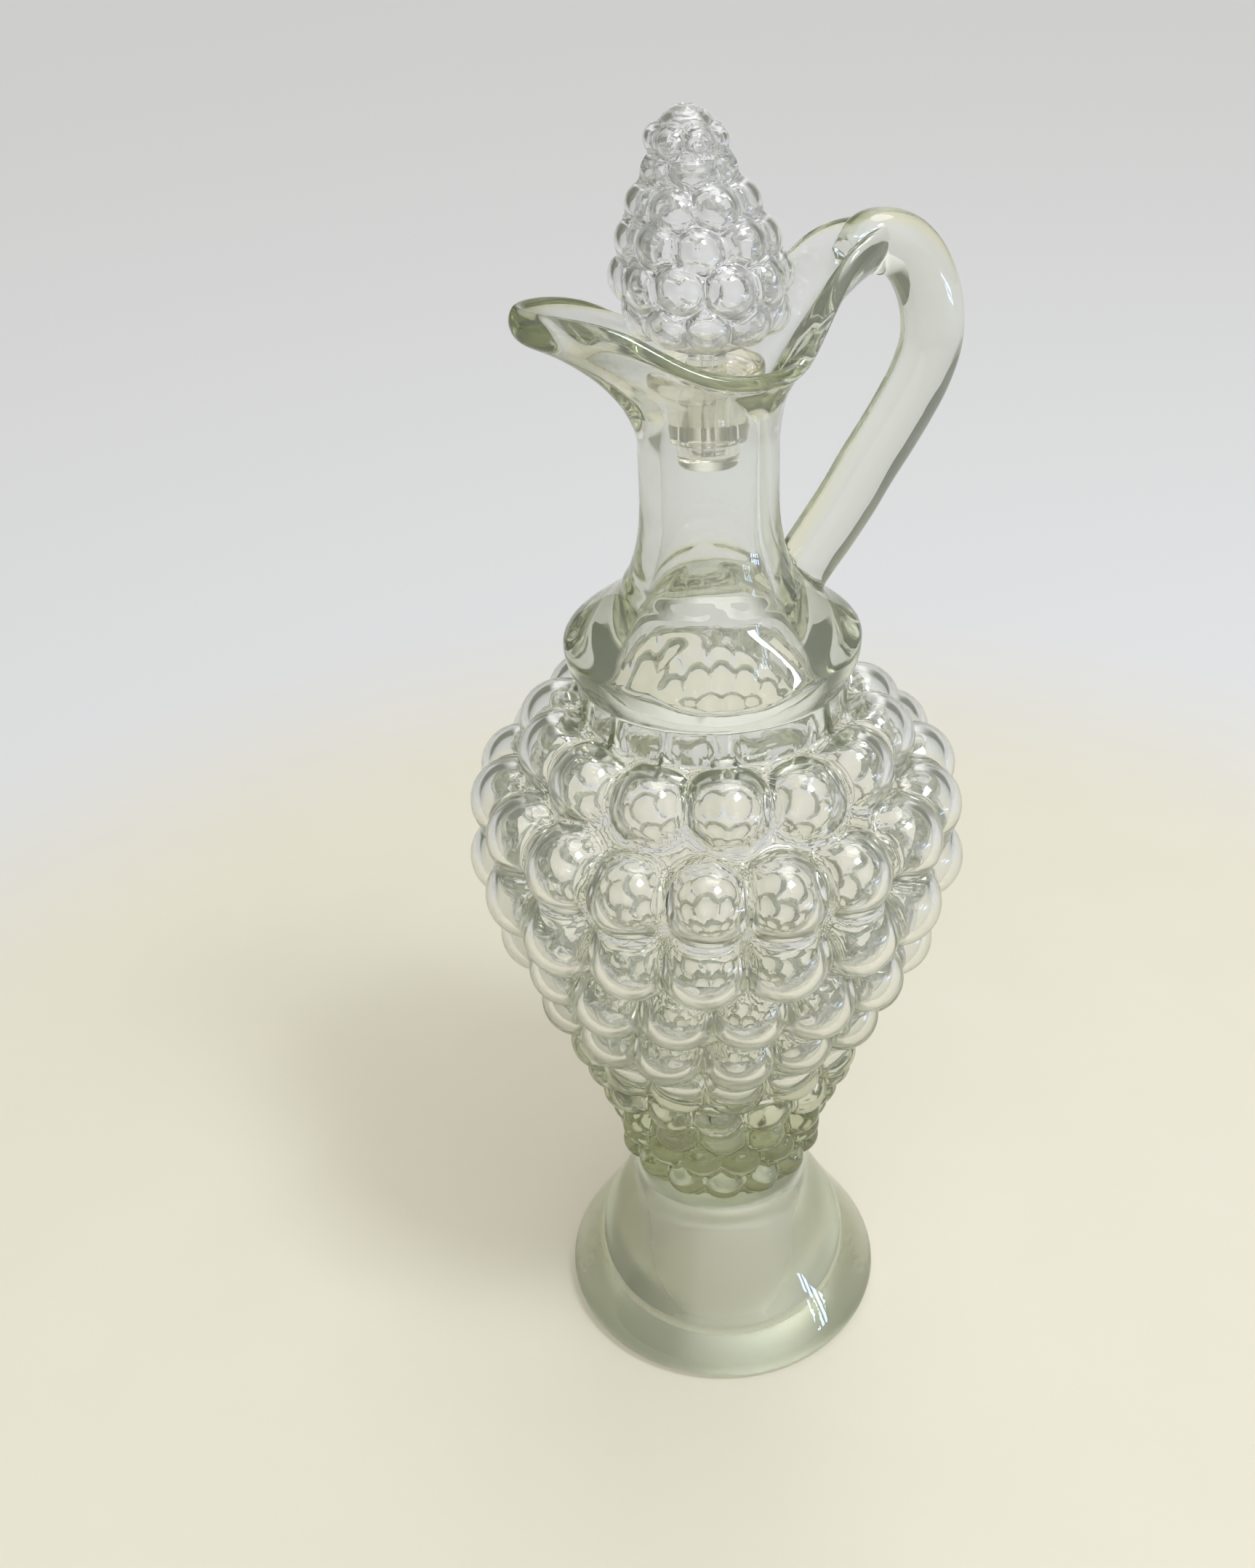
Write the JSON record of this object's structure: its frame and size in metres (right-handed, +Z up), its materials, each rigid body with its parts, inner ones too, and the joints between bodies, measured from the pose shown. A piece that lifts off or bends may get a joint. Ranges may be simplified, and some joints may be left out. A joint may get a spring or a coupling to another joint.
{
  "type": "stoppered glass cruet",
  "caption": "Moulded-glass cruet with a grape-cluster bowl on a hollow bell foot, a loop handle opposite a pouring spout, and a loose grape-cluster stopper in a plastic sleeve.",
  "frame": {"origin": "on the table, under the middle of the foot, which is also the bottom centre of the bounding box", "axes": "+Z up the axis of the neck, the longest extent; +X toward the handle; the spout points to -X"},
  "size_m": [0.0904, 0.0908, 0.242],
  "materials": {
    "foot_glass": "clear soda-lime glass with a faint grey-green tint, fire-polished",
    "bowl_glass": "clear soda-lime glass with a faint grey-green tint, fire-polished",
    "collar_glass": "clear soda-lime glass with a faint grey-green tint, fire-polished",
    "neck_glass": "clear soda-lime glass with a faint grey-green tint, fire-polished",
    "handle_glass": "clear soda-lime glass with a faint grey-green tint, drawn rod",
    "stopper_glass": "colourless pressed glass",
    "sleeve_plastic": "clear soft polyethylene, faintly yellowed"
  },
  "bodies": {
    "bottle": {"foot": "foot_glass", "grape_bowl": "bowl_glass", "collar": "collar_glass", "neck": "neck_glass", "handle": "handle_glass"},
    "sleeve": {"stopper_sleeve": "sleeve_plastic"},
    "stopper": {"stopper": "stopper_glass"}
  },
  "joints": [
    {"name": "sleeve_lift", "type": "slide", "parent": "bottle", "child": "sleeve", "axis": [0, 0, 1], "range_m": [0, 0.05]},
    {"name": "stopper_twist", "type": "hinge", "parent": "sleeve", "child": "stopper", "pos_m": [0, 0, 0.2], "axis": [0, 0, 1], "continuous": true}
  ]
}
